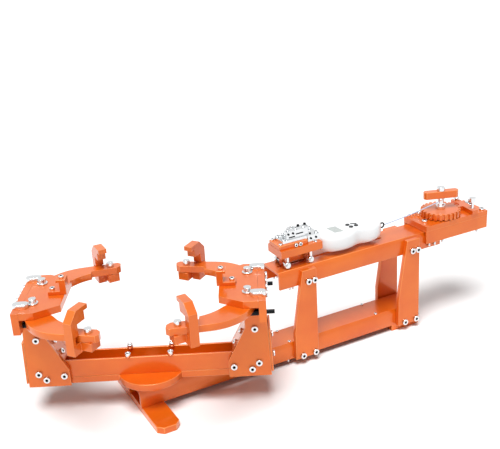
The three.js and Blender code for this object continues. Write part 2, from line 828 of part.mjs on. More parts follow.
// Spindle: tail in the head box, collar on the gear, cord drum, and the crank's seat and nut
function spindle() {
  const tailZ = headBoxTopZ - headWeb - runGap;
  const seatZ = crankBottomZ - seatGap;
  const nutZ = crankBottomZ + crankHeight + seatGap;
  return turned([
    [0, tailZ - spindleTail],
    [spindleTailCollar, tailZ - spindleTail],
    [spindleTailCollar, tailZ],
    [spindleRadius, tailZ],
    [spindleRadius, gearTopZ + seatGap],
    [spindleCollarRadius, gearTopZ + seatGap],
    [spindleCollarRadius, drumBottomZ - drumFlangeHeight],
    [spindleRadius, drumBottomZ],
    [spindleRadius, seatZ - drumFlangeHeight],
    [drumFlangeRadius, seatZ - drumFlangeHeight],
    [drumFlangeRadius, seatZ],
    [crankBore, seatZ],
    [crankBore, nutZ],
    [crankNutRadius, nutZ],
    [crankNutRadius, nutZ + crankNutHeight],
    [0, nutZ + crankNutHeight],
  ]).translate(winchX, 0, 0);
}

// Crank handle: a square bar across the spindle
function crankHandle() {
  const end = crankLength * half;
  const side = crankWidth * half;
  const c = crankCorner;
  const outline = shapeOf([
    [-end + c, -side], [end - c, -side], [end, -side + c], [end, side - c],
    [end - c, side], [-end + c, side], [-end, side - c], [-end, -side + c],
  ]);
  roundHole(outline, 0, 0, crankBore + seatGap);
  return alongZ(outline, crankBottomZ, crankBottomZ + crankHeight)
    .rotateZ(radians(crankRestDegrees)).translate(winchX, 0, 0);
}

// Pawl: drawn as it sits engaged, its tooth square to the winch, then swung back to rest about its bolt
function pawl() {
  const lowZ = headTopZ + pawlLift;
  const highZ = lowZ + pawlThickness;
  const slope = Math.tan(radians(pawlLeanDegrees));
  const leftAt = (y) => -pawlHalfWidth + y * slope;
  const rightAt = (y) => pawlHalfWidth + y * slope;
  const toothY = -pawlPivotY;
  const toothX = winchX + gearRadius - pawlToothBite - pawlPivotX;
  const outline = shapeOf([
    [leftAt(pawlTail), pawlTail], [leftAt(toothY + pawlToothRoot), toothY + pawlToothRoot],
    [toothX, toothY + pawlToothHalf], [toothX, toothY - pawlToothHalf],
    [leftAt(toothY - pawlToothRoot), toothY - pawlToothRoot], [leftAt(-pawlReach), -pawlReach],
    [rightAt(-pawlReach), -pawlReach], [rightAt(pawlTail), pawlTail],
  ]);
  roundHole(outline, 0, 0, pawlPinRadius + runGap);
  const knobY = -pawlReach + pawlKnobFromEnd;
  const knobX = knobY * slope;
  const knobZ = highZ + pawlKnobStemHeight;
  return joined(
    alongZ(outline, lowZ, highZ),
    post(knobX, knobY, pawlKnobStem, highZ - half, knobZ + half),
    post(knobX, knobY, pawlKnobRadius, knobZ, knobZ + pawlKnobHeight),
  ).rotateZ(radians(pawlRestDegrees)).translate(pawlPivotX, pawlPivotY, 0);
}

function pawlBolt() {
  const headZ = headTopZ + pawlLift + pawlThickness + runGap;
  return turned([
    [0, headBoxTopZ + seatGap],
    [pawlPinRadius, headBoxTopZ + seatGap],
    [pawlPinRadius, headZ],
    [pawlBoltHeadRadius, headZ],
    [pawlBoltHeadRadius, headZ + pawlBoltHeadHeight],
    [0, headZ + pawlBoltHeadHeight],
  ]).translate(pawlPivotX, pawlPivotY, 0);
}

// A tube swept along points, closed at both ends, from rings of a few sides
function sweptTube(points, radius, sides) {
  const curve = new THREE.CatmullRomCurve3(points);
  const ring = new THREE.Shape();
  for (let k = 0; k < sides; k += 1) {
    const angle = k / sides * Math.PI * 2;
    const place = [radius * Math.cos(angle), radius * Math.sin(angle)];
    if (k === 0) ring.moveTo(...place);
    else ring.lineTo(...place);
  }
  return new THREE.ExtrudeGeometry(ring, {
    steps: points.length - 1, bevelEnabled: false, extrudePath: curve,
  });
}

// Pawl spring: one wire wound from the pawl to the stud, with a straight tail at each end
function pawlSpring() {
  const z = headTopZ + pawlLift + pawlThickness * half;
  const y = pawlPivotY - springFromPivot;
  const from = springStartX();
  const to = from + springLength;
  const stepsPerCurl = 8;
  const count = springCurls * stepsPerCurl;
  const points = [];
  for (let k = 0; k <= count; k += 1) {
    const angle = k / stepsPerCurl * Math.PI * 2;
    points.push(new THREE.Vector3(
      from + springWire + (to - from - springWire * 2) * k / count,
      y + springRadius * Math.cos(angle),
      z + springRadius * Math.sin(angle),
    ));
  }
  return sweptTube(points, springWire * half, 5);
}

// Carriage block with its pillars and wheel axles, its draw lug and the keeper under the rail's web
function carriageBlock() {
  const parts = [
    box(blockLeft, blockRight, -slabHalf, slabHalf, slabBottomZ, blockTopZ),
    box(webLeft, webRight, -webHalf, webHalf, blockBottomZ, slabBottomZ + half),
  ];
  const lugZ = (slabBottomZ + blockTopZ) * half;
  parts.push(box(blockRight - half, blockRight + drawLug, -drawLugHalf, drawLugHalf,
    lugZ - drawLugHeight * half, lugZ + drawLugHeight * half));
  const wheelOuter = wheelInnerY + wheelWidth + runGap;
  const pillarY = wheelInnerY + wheelWidth * half;
  const pillarZ = wheelZ + wheelRadius + pillarRise;
  const keeperTop = railTopZ - stockWall - runGap;
  for (const x of wheelX) {
    parts.push(rodAlongY(x, -wheelOuter - half, wheelOuter + half, wheelZ, wheelBoreRadius));
    parts.push(rodAlongY(x, wheelOuter, wheelOuter + axleHeadHeight, wheelZ, axleHeadRadius));
    parts.push(rodAlongY(x, -wheelOuter - axleHeadHeight, -wheelOuter, wheelZ, axleHeadRadius));
    parts.push(post(x, pillarY, pillarRadius, pillarZ, slabBottomZ + half));
    parts.push(post(x, -pillarY, pillarRadius, pillarZ, slabBottomZ + half));
    parts.push(post(x, 0, keeperRadius, keeperTop - keeperThickness * half, blockBottomZ + half));
  }
  parts.push(box(wheelX[0] - keeperHalf, wheelX[1] + keeperHalf, -keeperHalf, keeperHalf,
    keeperTop - keeperThickness, keeperTop));
  return joined(...parts);
}

function carriagePlate() {
  return box(carriagePlateLeft, carriagePlateRight, -carriagePlateHalf, carriagePlateHalf,
    blockTopZ, plateTopZ);
}

// Wheel: a ball race that rolls on the rail's top
function wheel(x, side) {
  const inner = wheelBoreRadius + runGap;
  const slope = wheelWidth * wheelRimShare;
  const rim = wheelRadius - wheelRimDrop;
  return turned([
    [inner, 0], [rim, 0], [wheelRadius, slope], [wheelRadius, wheelWidth - slope],
    [rim, wheelWidth], [inner, wheelWidth], [inner, 0],
  ]).rotateX(Math.PI * half).translate(x, side > 0 ? wheelInnerY + wheelWidth : -wheelInnerY, wheelZ);
}

// Gripper base: a steel plate with a foot down to the block, the fixed jaw and the lever's pin
function gripperBase() {
  return joined(
    box(gripBaseLeft, gripBaseRight, -gripBaseHalf, gripBaseHalf, plateTopZ, gripTopZ),
    box(carriagePlateRight + gripFootGap, blockRight - gripFootInset, -gripFootHalf, gripFootHalf,
      blockTopZ, gripTopZ),
    box(gripJawLeft, gripJawRight, gripJawFace - gripJawThickness, gripJawFace,
      gripTopZ - half, gripTopZ + gripJawHeight),
    post(gripPivotX, gripPivotY, gripPinRadius, gripTopZ - half, gripTopZ + gripPinHeight),
  );
}

// Gripper lever: an off-centre cam with a handle
function gripperLever() {
  const lowZ = gripTopZ + runGap;
  const highZ = lowZ + gripCamHeight;
  const camY = gripPivotY - gripCamOffset;
  return cutFrom(
    joined(
      post(gripPivotX, camY, gripCamRadius, lowZ, highZ),
      box(gripPivotX, gripPivotX + gripLeverReach, gripPivotY - gripLeverHalf, gripPivotY + gripLeverHalf,
        lowZ, highZ),
    ),
    post(gripPivotX, gripPivotY, gripPinRadius + runGap, lowZ - overrun, highZ + overrun),
  );
}

// A closed solid through rings of points that lie one above another
function lofted(rings) {
  const count = rings[0].length;
  const faces = [];
  for (let level = 0; level < rings.length - 1; level += 1) {
    for (let k = 0; k < count; k += 1) {
      const low = level * count;
      const next = (k + 1) % count;
      faces.push(low + k, low + next, low + count + next);
      faces.push(low + k, low + count + next, low + count + k);
    }
  }
  const lid = THREE.ShapeUtils.triangulateShape(rings[0].map(([x, y]) => new THREE.Vector2(x, y)), []);
  const top = (rings.length - 1) * count;
  for (const [a, b, c] of lid) {
    faces.push(c, b, a);
    faces.push(top + a, top + b, top + c);
  }
  const geometry = new THREE.BufferGeometry();
  geometry.setAttribute("position", new THREE.Float32BufferAttribute(rings.flat(2), 3));
  geometry.setIndex(faces);
  return geometry;
}

// Scale body: a shell of two rounded lobes with a waist, drawn in below like a bowl
function scaleBody() {
  const length = scaleRight - scaleLeft;
  const near = scaleOutlineShares.map(([along, wide]) => [along * length, -wide * scaleHalf]);
  const far = near.slice(1, -1).reverse().map(([x, y]) => [x, -y]);
  const curve = new THREE.CatmullRomCurve3([...near, ...far].map(([x, y]) => new THREE.Vector3(x, y, 0)), true);
  const outline = curve.getPoints(scaleOutlineSteps).slice(0, -1);
  const rings = scaleProfileShares.map(([height, wide]) => {
    const inset = (1 - wide) * scaleHalf;
    const shrink = 1 - inset * 2 / length;
    return outline.map((point) => [
      scaleLeft + inset + point.x * shrink, point.y * wide, scaleBottomZ + height * scaleHeight,
    ]);
  });
  const topZ = scaleBottomZ + scaleHeight;
  const pockets = buttonX.map((x, index) =>
    post(x, buttonY[index], buttonRadius + runGap, topZ - buttonPocket, topZ + overrun));
  return cutFrom(lofted(rings), ...pockets);
}

function scaleButton(index) {
  const top = scaleBottomZ + scaleHeight + buttonProud;
  return post(buttonX[index], buttonY[index], buttonRadius, top - buttonHeight, top);
}

// Hook ring at the scale's right end, where the cord is tied
function scaleHook() {
  const x = scaleRight + hookRingRadius + runGap;
  return new THREE.TorusGeometry(hookRingRadius, hookWireRadius, 8, ringSides)
    .rotateX(Math.PI * half).translate(x + hookWireRadius, 0, hookZ);
}

// Draw cord from the hook ring to the drum's near side, with a slight sag
function cordGeometry() {
  const from = new THREE.Vector3(
    scaleRight + hookRingRadius * 2 + hookWireRadius * 2 + runGap * 3, 0, hookZ);
  const to = new THREE.Vector3(
    winchX - spindleRadius - cordRadius - runGap, -spindleRadius * half, drumBottomZ + drumHeight * half);
  const points = [];
  for (let k = 0; k <= cordSteps; k += 1) {
    const share = k / cordSteps;
    const point = from.clone().lerp(to, share);
    point.z -= cordDrop * 4 * share * (1 - share);
    points.push(point);
  }
  return sweptTube(points, cordRadius, 8);
}

// The whole machine: the stand stays, the turntable group is turned to its rest angle
const machine = new THREE.Group();
machine.add(
  piece("front_foot", frontFoot(), finishes.orange),
  piece("base_beam", baseBeam(), finishes.orange),
  piece("rear_foot", rearFoot(), finishes.orange),
  piece("pivot_post", pivotPost(), finishes.steel),
  ...uprights(),
  piece("tension_rail", tensionRail(), finishes.orange),
  piece("head_box", headBox(), finishes.orange),
  piece("head_plate", headPlate(), finishes.orange),
  piece("pawl_bolt", pawlBolt(), finishes.steel),
  piece("ratchet_gear", ratchetGear(), finishes.orange),
  piece("spindle", spindle(), finishes.steel),
  piece("crank_handle", crankHandle(), finishes.orange),
  piece("pawl", pawl(), finishes.orange),
  piece("pawl_spring", pawlSpring(), finishes.steel),
  piece("carriage_block", carriageBlock(), finishes.orange),
  piece("carriage_plate", carriagePlate(), finishes.orange),
  piece("wheel_left_near", wheel(wheelX[0], -1), finishes.steel),
  piece("wheel_left_far", wheel(wheelX[0], 1), finishes.steel),
  piece("wheel_right_near", wheel(wheelX[1], -1), finishes.steel),
  piece("wheel_right_far", wheel(wheelX[1], 1), finishes.steel),
  piece("gripper_base", gripperBase(), finishes.steel),
  piece("gripper_lever", gripperLever(), finishes.steel),
  piece("scale_body", scaleBody(), finishes.white),
  ...buttonX.map((x, index) => piece(`scale_button_${index + 1}`, scaleButton(index), finishes.black)),
  piece("scale_hook", scaleHook(), finishes.black),
  piece("draw_cord", cordGeometry(), finishes.cord),
);

const turntable = new THREE.Group();
turntable.rotation.z = radians(restTurnDegrees);
turntable.add(
  piece("turntable_plate", turntablePlate(), finishes.orange),
  piece("turntable_beam", turntableBeam(), finishes.orange),
  ...towerMeshes(),
);
machine.add(turntable);

export default machine;
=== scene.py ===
import json
import math

import bmesh
import bpy
from mathutils import Matrix, Vector


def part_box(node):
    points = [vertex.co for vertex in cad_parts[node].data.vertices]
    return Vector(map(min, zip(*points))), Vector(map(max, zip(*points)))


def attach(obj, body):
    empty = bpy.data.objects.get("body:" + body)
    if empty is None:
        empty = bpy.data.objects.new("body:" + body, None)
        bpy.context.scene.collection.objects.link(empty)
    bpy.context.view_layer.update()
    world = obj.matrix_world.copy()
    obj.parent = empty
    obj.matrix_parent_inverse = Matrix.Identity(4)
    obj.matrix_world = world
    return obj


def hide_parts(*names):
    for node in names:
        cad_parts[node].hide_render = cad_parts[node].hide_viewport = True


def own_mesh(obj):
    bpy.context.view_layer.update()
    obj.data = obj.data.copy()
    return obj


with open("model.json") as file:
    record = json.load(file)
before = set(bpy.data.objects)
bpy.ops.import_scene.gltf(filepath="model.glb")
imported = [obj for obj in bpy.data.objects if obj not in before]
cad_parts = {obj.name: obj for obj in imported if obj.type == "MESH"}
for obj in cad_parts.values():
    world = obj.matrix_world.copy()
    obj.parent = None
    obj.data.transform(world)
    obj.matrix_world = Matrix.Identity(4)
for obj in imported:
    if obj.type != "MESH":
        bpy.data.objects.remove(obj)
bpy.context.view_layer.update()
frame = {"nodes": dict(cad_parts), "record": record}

# Camera: stands in front of the turntable's left end and a little above the machine, at the
# angle of a product picture, with a slight tilt to the left.
camera_place = Vector((-0.3582, -1.0504, 0.7079))
yaw, pitch, roll = math.radians(-26.78), math.radians(21.91), math.radians(-3.52)
ahead = Vector((math.sin(-yaw) * math.cos(pitch), math.cos(yaw) * math.cos(pitch),
                -math.sin(pitch)))
level = ahead.cross(Vector((0, 0, 1))).normalized()
above = level.cross(ahead)
across = math.cos(roll) * level + math.sin(roll) * above
upward = math.cos(roll) * above - math.sin(roll) * level
camera = bpy.data.objects.new("camera", bpy.data.cameras.new("camera"))
bpy.context.scene.collection.objects.link(camera)
camera.matrix_world = Matrix.LocRotScale(
    camera_place, Matrix((across, upward, -ahead)).transposed(), None)
camera.data.sensor_width = 36.0
camera.data.lens = 63.5
camera.data.clip_start = 0.01
bpy.context.scene.camera = camera


# Draw cord: a braided polyester line, tied to the scale's ring and wound on the spindle's drum.
#  It is pulled taut, so it sags only a little. On the machine it gets shorter as the carriage
#  comes in; here it is drawn at one length.
def hex_colour(code):
    """A linear colour from an sRGB hex value."""
    parts = [int(code[k:k + 2], 16) / 255 for k in (1, 3, 5)]
    return [p / 12.92 if p <= 0.04045 else ((p + 0.055) / 1.055) ** 2.4 for p in parts] + [1.0]


def add(material, kind, inputs=(), **settings):
    """Adds a node to a material or tree, with its settings, its values and its links."""
    tree = getattr(material, "node_tree", None) or material
    made = tree.nodes.new(kind)
    for key, value in settings.items():
        setattr(made, key, value)
    for socket, value in dict(inputs).items():
        if isinstance(value, bpy.types.NodeSocket):
            tree.links.new(value, made.inputs[socket])
        else:
            made.inputs[socket].default_value = value
    return made


def new_material(name):
    """An empty material."""
    material = bpy.data.materials.new(name)
    material.use_nodes = True
    material.node_tree.nodes.clear()
    return material


def finish_surface(material, shader):
    """Joins a shader to the material's output."""
    add(material, "ShaderNodeOutputMaterial", {"Surface": shader.outputs[0]})
    return material


def as_piece(form, name, materials):
    """Ends a mesh: a new object at the origin with these materials."""
    mesh = bpy.data.meshes.new(name)
    form.to_mesh(mesh)
    form.free()
    piece = bpy.data.objects.new(name, mesh)
    bpy.context.scene.collection.objects.link(piece)
    for material in materials:
        mesh.materials.append(material)
    return piece


def swept(points, radius, sides, name, material):
    """A closed round tube along points, as one mesh."""
    form = bmesh.new()
    rings = []
    shortest = 1e-6
    for k, point in enumerate(points):
        way = (points[min(k + 1, len(points) - 1)] - points[max(k - 1, 0)]).normalized()
        side = way.cross(Vector((0, 0, 1)))
        side = side.normalized() if side.length > shortest else Vector((1, 0, 0))
        other = way.cross(side)
        rings.append([form.verts.new(point + radius * (
            math.cos(math.tau * s / sides) * side + math.sin(math.tau * s / sides) * other))
            for s in range(sides)])
    for a, b in zip(rings, rings[1:]):
        for s in range(sides):
            form.faces.new((a[s], a[(s + 1) % sides], b[(s + 1) % sides], b[s]))
    form.faces.new(rings[0])
    form.faces.new(rings[-1])
    bmesh.ops.recalc_face_normals(form, faces=form.faces)
    for face in form.faces:
        face.smooth = len(face.verts) == 4
    return as_piece(form, name, [material])


# Braided polyester: a soft sheen, with slanted strands. They are drawn 2 mm apart, coarser than
# the real half millimetre, so that they show.
strand_scale = 320.0
braid = new_material("braided_polyester")
braid_place = add(braid, "ShaderNodeTexCoord")
braid_strand = add(braid, "ShaderNodeTexWave",
                   {"Vector": braid_place.outputs["Object"], "Scale": strand_scale,
                    "Distortion": 1.5}, bands_direction="DIAGONAL")
braid_tint = add(braid, "ShaderNodeMix",
                 {"Factor": braid_strand.outputs["Fac"], "A": hex_colour("#8FA3C6"),
                  "B": hex_colour("#C9D6EA")}, data_type="RGBA")
braid_bump = add(braid, "ShaderNodeBump",
                 {"Height": braid_strand.outputs["Fac"], "Strength": 0.4, "Distance": 0.0003})
finish_surface(braid, add(braid, "ShaderNodeBsdfPrincipled",
                          {"Base Color": braid_tint.outputs["Result"], "Roughness": 0.6,
                           "Normal": braid_bump.outputs["Normal"]}))

hook_low, hook_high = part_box("scale_hook")
cord_low, cord_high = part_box("draw_cord")
cord_radius = 0.0008
cord_sides = 10
cord_steps = 40
cord_sag = 0.0016
drum_near = -0.0025
cord_start = Vector((cord_low.x, 0, (hook_low.z + hook_high.z) / 2))
cord_end = Vector((cord_high.x, drum_near, cord_high.z - cord_radius))
cord_path = []
for step in range(cord_steps + 1):
    share = step / cord_steps
    point = cord_start.lerp(cord_end, share)
    cord_path.append(point - Vector((0, 0, cord_sag * 4 * share * (1 - share))))

cord = swept(cord_path, cord_radius, cord_sides, "draw_cord_line", braid)
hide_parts("draw_cord")
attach(cord, "stand")
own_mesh(cord)

# Front foot: an orange anodised aluminium bar, 10 mm thick, sawn, its corners cut and its
# edges broken with a file. It is screwed up into the base beam.
dye_patch_scale = 14.0
grain_scale = 1400.0
drawn_lines = (0.02, 1.0, 1.0)


def anodised(name, hue, stretch=(1.0, 1.0, 1.0), turn=0.0):
    """Anodised aluminium: dyed clear oxide over a blasted or drawn surface, so a colour with
    a soft metallic body and a thin clear gloss. The dye varies in patches of 70 mm, and the
    grain is 0.7 mm, coarser than real so that it shows. A stretch draws it out into lines
    along the machine, and a turn varies their pattern."""
    material = new_material(name)
    place = add(material, "ShaderNodeTexCoord")
    cloud = add(material, "ShaderNodeTexNoise",
                {"Vector": place.outputs["Object"], "Scale": dye_patch_scale, "Detail": 4.0,
                 "Roughness": 0.55})
    tint = add(material, "ShaderNodeValToRGB", {"Fac": cloud.outputs["Fac"]})
    for stop, code, position in zip(tint.color_ramp.elements, hue, (0.32, 0.7)):
        stop.color = hex_colour(code)
        stop.position = position
    grain_place = add(material, "ShaderNodeMapping",
                      {"Vector": place.outputs["Object"], "Rotation": (0, 0, -turn),
                       "Scale": stretch})
    grain = add(material, "ShaderNodeTexNoise",
                {"Vector": grain_place.outputs["Vector"], "Scale": grain_scale, "Detail": 2.0})
    rough = add(material, "ShaderNodeMapRange",
                {"Value": grain.outputs["Fac"], "To Min": 0.26, "To Max": 0.4})
    bump = add(material, "ShaderNodeBump",
               {"Height": grain.outputs["Fac"], "Strength": 0.12, "Distance": 0.0001})
    shader = add(material, "ShaderNodeBsdfPrincipled",
                 {"Base Color": tint.outputs["Color"], "Metallic": 0.3,
                  "Roughness": rough.outputs["Result"], "Normal": bump.outputs["Normal"],
                  "Coat Weight": 0.7, "Coat Roughness": 0.14, "Specular IOR Level": 0.3})
    return finish_surface(material, shader)


table_turn = math.radians(-27.65)
drawn_hue = ("#D65E08", "#E06E12")
orange_plate = anodised("orange_anodised_aluminium_blasted", ("#D8600A", "#E27014"))
orange_drawn = anodised("orange_anodised_aluminium_drawn", drawn_hue, drawn_lines)
orange_drawn_table = anodised("orange_anodised_aluminium_drawn_on_table", drawn_hue, drawn_lines,
                              table_turn)
# Broken edges: a lighter orange, partly dye worn off by the file and partly a painted highlight
# along each edge
orange_edge_wear_and_highlight = anodised("orange_anodised_aluminium_edge_wear_and_painted_highlight", ("#E27C34", "#EC9452"))
plate_finish = [orange_plate, orange_edge_wear_and_highlight]
beam_finish = [orange_drawn, orange_edge_wear_and_highlight]
table_finish = [orange_drawn_table, orange_edge_wear_and_highlight]

body_of_node = {node: body for body, nodes in frame["record"]["behaviour"]["bodies"].items()
                for node in nodes}
same_place = 2e-6
flat_angle = math.radians(0.4)
facet_angle = math.radians(1)
round_angle = math.radians(29)
sharp_angle = math.radians(30)


def edged(node, edge, materials, bright=None):
    """Copies a CAD solid, merges its triangles and breaks its sharp edges by a small width, as
    a file or a tumbler does. The copy stands for the node. Faces that bright picks out by their
    centre are the third material."""
    form = bmesh.new()
    form.from_mesh(frame["nodes"][node].data)
    bmesh.ops.remove_doubles(form, verts=form.verts, dist=same_place)
    bmesh.ops.dissolve_limit(form, angle_limit=flat_angle, verts=form.verts, edges=form.edges)
    sharp = [e for e in form.edges if e.is_manifold and e.calc_face_angle() > sharp_angle]
    # The broken edges take the second material, which is lighter on the orange and nickel pieces: a
    # painted highlight, with some wear on the orange
    if sharp and edge:
        bmesh.ops.bevel(form, geom=sharp, offset=edge, segments=2, profile=0.6, affect="EDGES",
                        clamp_overlap=True, material=1)
    for face in form.faces:
        round_side = face.material_index == 0 and any(
            facet_angle < e.calc_face_angle(0) < round_angle
            and all(f.material_index == 0 for f in e.link_faces) for e in face.edges)
        face.smooth = round_side or face.material_index == 1
        if bright and bright(face.calc_center_median()):
            face.material_index = 2
    piece = as_piece(form, node + "_finished", materials)
    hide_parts(node)
    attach(piece, body_of_node[node])
    return piece


edged("front_foot", 0.0009, plate_finish)

# Base beam: a drawn orange channel, open below, with sloped shoulders. Its left end is sawn
# square and shows its wall, and the pivot stands in a hole through its web.
edged("base_beam", 0.0005, beam_finish)
base_low, base_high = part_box("base_beam")

# Rear foot: an orange pad of the same bar as the front foot, under the channel's far end. It
# holds the machine level and is screwed on in the same way.
edged("rear_foot", 0.0008, plate_finish)


# Pivot post: a bright plated bolt with a wide flange, turned from bar. The turntable's disc
# runs on the flange.
def plated(name, hue, rough):
    """Plated steel: a hard bright metal skin, a little uneven over 5 mm where it was turned."""
    material = new_material(name)
    place = add(material, "ShaderNodeTexCoord")
    cloud = add(material, "ShaderNodeTexNoise",
                {"Vector": place.outputs["Object"], "Scale": 220.0, "Detail": 3.0})
    spread = add(material, "ShaderNodeMapRange",
                 {"Value": cloud.outputs["Fac"], "To Min": rough * 0.7, "To Max": rough * 1.4})
    shade = add(material, "ShaderNodeMix",
                {"Factor": cloud.outputs["Fac"], "A": hex_colour(hue[0]), "B": hex_colour(hue[1])},
                data_type="RGBA")
    turned = add(material, "ShaderNodeBump",
                 {"Height": cloud.outputs["Fac"], "Strength": 0.08, "Distance": 0.0001})
    shader = add(material, "ShaderNodeBsdfPrincipled",
                 {"Base Color": shade.outputs["Result"], "Metallic": 1.0,
                  "Roughness": spread.outputs["Result"], "Normal": turned.outputs["Normal"]})
    return finish_surface(material, shader)


# Nickel plating gives sharp pale reflections, and black oxide a dark, duller sheen. The same black
# also paints the shade in the screws' sockets and the gripper's slots
chrome = plated("bright_nickel_plated_steel", ("#D6D9DB", "#E6E8E9"), 0.15)
# The nickel's edge copy is paler: a painted highlight on the broken edges
chrome_edge_highlight = plated("bright_nickel_plated_steel_edge_painted_highlight", ("#D8DADC", "#EEEFEF"), 0.12)
black_oxide_and_shade = plated("black_oxide_steel_and_painted_shade", ("#17181A", "#26272A"), 0.36)
bright_finish = [chrome, chrome_edge_highlight]
edged("pivot_post", 0.0004, bright_finish)

# Uprights: three orange plates between base and rail, two at the rear end and one in front,
# each with a sloping edge towards the turntable. Cap screws hold each end to the beams.
for node in ("upright_front_near", "upright_rear_near", "upright_rear_far"):
    edged(node, 0.0007, plate_finish)


def cap_screw():
    """One socket cap screw, a unit wide and a unit high, its seat at the origin. Its socket's
     faces carry the attribute that the tree below paints black, as painted shade in the hollow."""
    form = bmesh.new()
    flag = form.faces.layers.bool.new("socket")
    sides, corners = 24, 6
    socket_radius, socket_mouth, socket_floor = 0.5, 0.94, 0.35
    rings = []
    for radius, height in ((1.0, 0.0), (1.0, 0.86), (0.9, 1.0), (0.58, 1.0)):
        rings.append([form.verts.new((radius * math.cos(math.tau * k / sides),
                                      radius * math.sin(math.tau * k / sides), height))
                      for k in range(sides)])
    mouth, floor = [[form.verts.new((socket_radius * math.cos(math.tau * k / corners),
                                     socket_radius * math.sin(math.tau * k / corners), height))
                     for k in range(corners)] for height in (socket_mouth, socket_floor)]
    for a, b in zip(rings, rings[1:]):
        for k in range(sides):
            form.faces.new((a[k], a[(k + 1) % sides], b[(k + 1) % sides], b[k])).smooth = True
    per = sides // corners
    ring = rings[-1]
    for k in range(sides):
        here, following = mouth[(k // per) % corners], mouth[((k + 1) // per) % corners]
        if here is following:
            form.faces.new((ring[k], ring[(k + 1) % sides], here))
        else:
            form.faces.new((ring[k], ring[(k + 1) % sides], following, here))
    for k in range(corners):
        after = (k + 1) % corners
        form.faces.new((mouth[k], mouth[after], floor[after], floor[k]))[flag] = True
    form.faces.new(floor)[flag] = True
    form.faces.new(rings[0])
    bmesh.ops.recalc_face_normals(form, faces=form.faces)
    return as_piece(form, "cap_screw_pattern", [])


def fastener_tree():
    """Stands one fastener on each seat, square to it, turned by a fixed random angle, at the
     given width and height, in plated steel, with its socket painted black as painted shade."""
    tree = bpy.data.node_groups.new("fasteners_on_seats", "GeometryNodeTree")
    for label, kind in (("Geometry", "Geometry"), ("Fastener", "Object"), ("Radius", "Float"),
                        ("Height", "Float"), ("Metal", "Material"), ("Socket Painted Shade", "Material")):
        tree.interface.new_socket(label, in_out="INPUT", socket_type="NodeSocket" + kind)
    tree.interface.new_socket("Geometry", in_out="OUTPUT", socket_type="NodeSocketGeometry")
    given = add(tree, "NodeGroupInput")
    pattern = add(tree, "GeometryNodeObjectInfo", {"Object": given.outputs["Fastener"]})
    facing = add(tree, "GeometryNodeInputNamedAttribute", {"Name": "facing"},
                 data_type="FLOAT_VECTOR")
    stand = add(tree, "FunctionNodeAlignRotationToVector",
                {"Vector": facing.outputs["Attribute"]}, axis="Z")
    size = add(tree, "ShaderNodeCombineXYZ",
               {"X": given.outputs["Radius"], "Y": given.outputs["Radius"],
                "Z": given.outputs["Height"]})
    copies = add(tree, "GeometryNodeInstanceOnPoints",
                 {"Points": given.outputs["Geometry"], "Instance": pattern.outputs["Geometry"],
                  "Rotation": stand.outputs["Rotation"], "Scale": size.outputs["Vector"]})
    chance = add(tree, "FunctionNodeRandomValue", {"Max": math.tau, "Seed": 7}, data_type="FLOAT")
    spin = add(tree, "ShaderNodeCombineXYZ", {"Z": chance.outputs[1]})
    turned = add(tree, "GeometryNodeRotateInstances",
                 {"Instances": copies.outputs["Instances"], "Rotation": spin.outputs["Vector"]})
    solid = add(tree, "GeometryNodeRealizeInstances", {"Geometry": turned.outputs["Instances"]})
    metal = add(tree, "GeometryNodeSetMaterial",
                {"Geometry": solid.outputs["Geometry"], "Material": given.outputs["Metal"]})
    socket = add(tree, "GeometryNodeInputNamedAttribute", {"Name": "socket"},
                 data_type="BOOLEAN")
    black = add(tree, "GeometryNodeSetMaterial",
                {"Geometry": metal.outputs["Geometry"], "Selection": socket.outputs["Attribute"],
                 "Material": given.outputs["Socket Painted Shade"]})
    add(tree, "NodeGroupOutput", {"Geometry": black.outputs["Geometry"]})
    return tree


screw_pattern = cap_screw()
screw_tree = fastener_tree()
screw_inputs = {item.name: item.identifier for item in screw_tree.interface.items_tree
                if item.in_out == "INPUT"}


def screws(name, body, seats, radius, height, metal=chrome):
    """Puts a cap screw on each seat, given as a place and the way that its head faces."""
    points = bpy.data.meshes.new(name)
    points.from_pydata([place for place, _ in seats], [], [])
    facing = points.attributes.new("facing", "FLOAT_VECTOR", "POINT")
    for k, (_, way) in enumerate(seats):
        facing.data[k].vector = way
    holder = bpy.data.objects.new(name + "_seats", points)
    bpy.context.scene.collection.objects.link(holder)
    modifier = holder.modifiers.new("Fasteners", "NODES")
    modifier.node_group = screw_tree
    for socket, value in (("Fastener", screw_pattern), ("Radius", radius), ("Height", height),
                          ("Metal", metal), ("Socket Painted Shade", black_oxide_and_shade)):
        modifier[screw_inputs[socket]] = value
    bpy.context.view_layer.update()
    ready = holder.evaluated_get(bpy.context.evaluated_depsgraph_get())
    piece = bpy.data.objects.new(name, bpy.data.meshes.new_from_object(ready))
    bpy.context.scene.collection.objects.link(piece)
    bpy.data.objects.remove(holder)
    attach(piece, body)


facing_up, facing_down, facing_near = (0, 0, 1), (0, 0, -1), (0, -1, 0)
upright_face = 0.0325
upright_high, upright_low = 0.1365, 0.0145
upright_seats = []
for edge_x, side in ((0.261, -1), (0.453, -1), (0.453, 1)):
    for back, z in ((0.0145, upright_high), (0.004, upright_high),
                    (0.028, upright_low), (0.006, upright_low)):
        upright_seats.append(((edge_x - back, side * upright_face, z), (0, side, 0)))
screws("upright_screws", "stand", upright_seats, radius=0.0049, height=0.0034)
screws("base_screws", "stand",
       [((x, y, base_high.z), facing_up) for x in (0.2170, 0.3770) for y in (-0.0192, 0.0192)],
       radius=0.0024, height=0.0018)
channel_lip = 0.0237
lip_depth = 0.0005
screws("base_edge_screws", "stand",
       [((0.2110, y, base_low.z + lip_depth), facing_down) for y in (-channel_lip, channel_lip)],
       radius=0.0017, height=0.0035)

# Tension rail: a second length of the drawn channel on the uprights. A slot along its top
# guides the carriage's keeper, and small screws stand under its edges.
edged("tension_rail", 0.0005, beam_finish)
rail_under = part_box("tension_rail")[0].z
screws("rail_edge_screws", "stand",
       [((x, y, rail_under + lip_depth), facing_down)
        for x in (0.2194, 0.2248) for y in (-channel_lip, channel_lip)],
       radius=0.0017, height=0.004)

